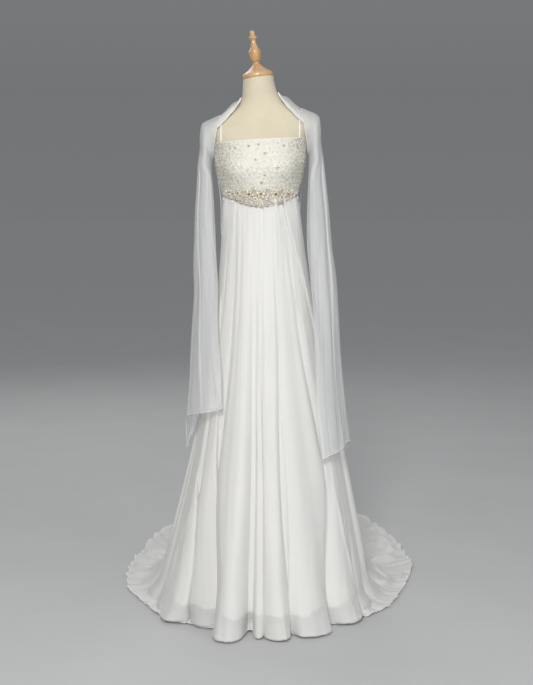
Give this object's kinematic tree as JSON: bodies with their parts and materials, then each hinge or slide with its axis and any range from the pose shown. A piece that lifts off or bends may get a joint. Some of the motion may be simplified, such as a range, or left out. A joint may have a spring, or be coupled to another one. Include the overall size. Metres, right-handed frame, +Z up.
{
  "type": "wedding dress on a dress form",
  "caption": "Empire-line wedding dress in gathered chiffon with a beaded bodice, long train and sheer shrug with hanging sleeves, on a limbless dress form with a round foot.",
  "frame": {"origin": "middle of the underside of the stand's round foot, on the floor", "axes": "+Z up, the dress faces -Y, +X is to the right in the picture, and the train lies towards +Y"},
  "size_m": [0.9423, 1.5074, 1.7009],
  "materials": {
    "chiffon": "soft ivory chiffon",
    "sheer_chiffon": "one sheer layer of ivory chiffon",
    "lining": "smooth matt ivory lining",
    "lace": "ivory lace sewn with small beads",
    "satin": "ivory satin cord",
    "beads": "silver and pale gold beads and sequins",
    "form_jersey": "cream cotton jersey",
    "turned_wood": "clear varnished maple",
    "stand_metal": "satin white paint"
  },
  "bodies": {
    "root": {"form_torso": "form_jersey", "form_neck_cap": "turned_wood", "form_pole": "stand_metal", "form_foot": "stand_metal", "bodice_front": "lace", "bodice_back_left": "lace", "bodice_back_right": "lace", "strap_left": "satin", "strap_right": "satin", "skirt_front": "chiffon", "skirt_back": "chiffon", "skirt_lining": "lining", "waist_trim": "beads", "shrug_back": "sheer_chiffon", "sleeve_left": "sheer_chiffon", "sleeve_right": "sheer_chiffon"}
  },
  "joints": []
}
